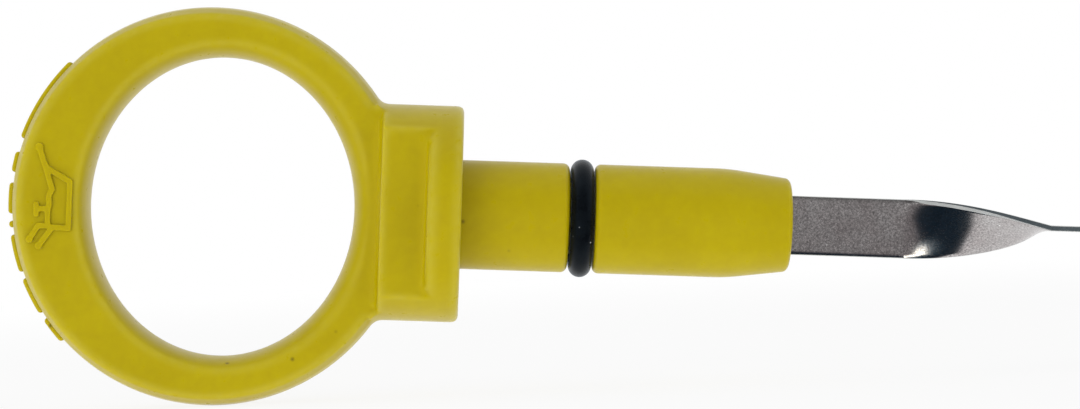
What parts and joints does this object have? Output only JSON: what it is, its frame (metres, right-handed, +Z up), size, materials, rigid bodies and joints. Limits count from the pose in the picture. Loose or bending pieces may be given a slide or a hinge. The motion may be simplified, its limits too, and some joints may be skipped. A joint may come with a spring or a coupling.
{
  "type": "engine oil dipstick",
  "caption": "Pull-ring dipstick: moulded finger ring on a stepped round collar, sealed tapered plug, and a flat steel blade with a quarter twist and a gauge end for reading oil level.",
  "frame": {"origin": "on the bench, under the middle of the standing dipstick's box", "axes": "+Z up from the bench; +X along the stick from the finger ring to the blade's tip, the stick's axis sloping about 4.5 degrees down that way; the ring stands on its rim with its signed face to -Y, and the blade's tip rests on the bench"},
  "size_m": [0.2983, 0.0234, 0.0432],
  "materials": {
    "handle_plastic": "moulded, satin with a fine grain",
    "seal_rubber": "satin",
    "blade_steel": "rolled spring steel"
  },
  "bodies": {
    "root": {"handle": "handle_plastic", "seal_ring": "seal_rubber", "blade": "blade_steel"}
  },
  "joints": []
}
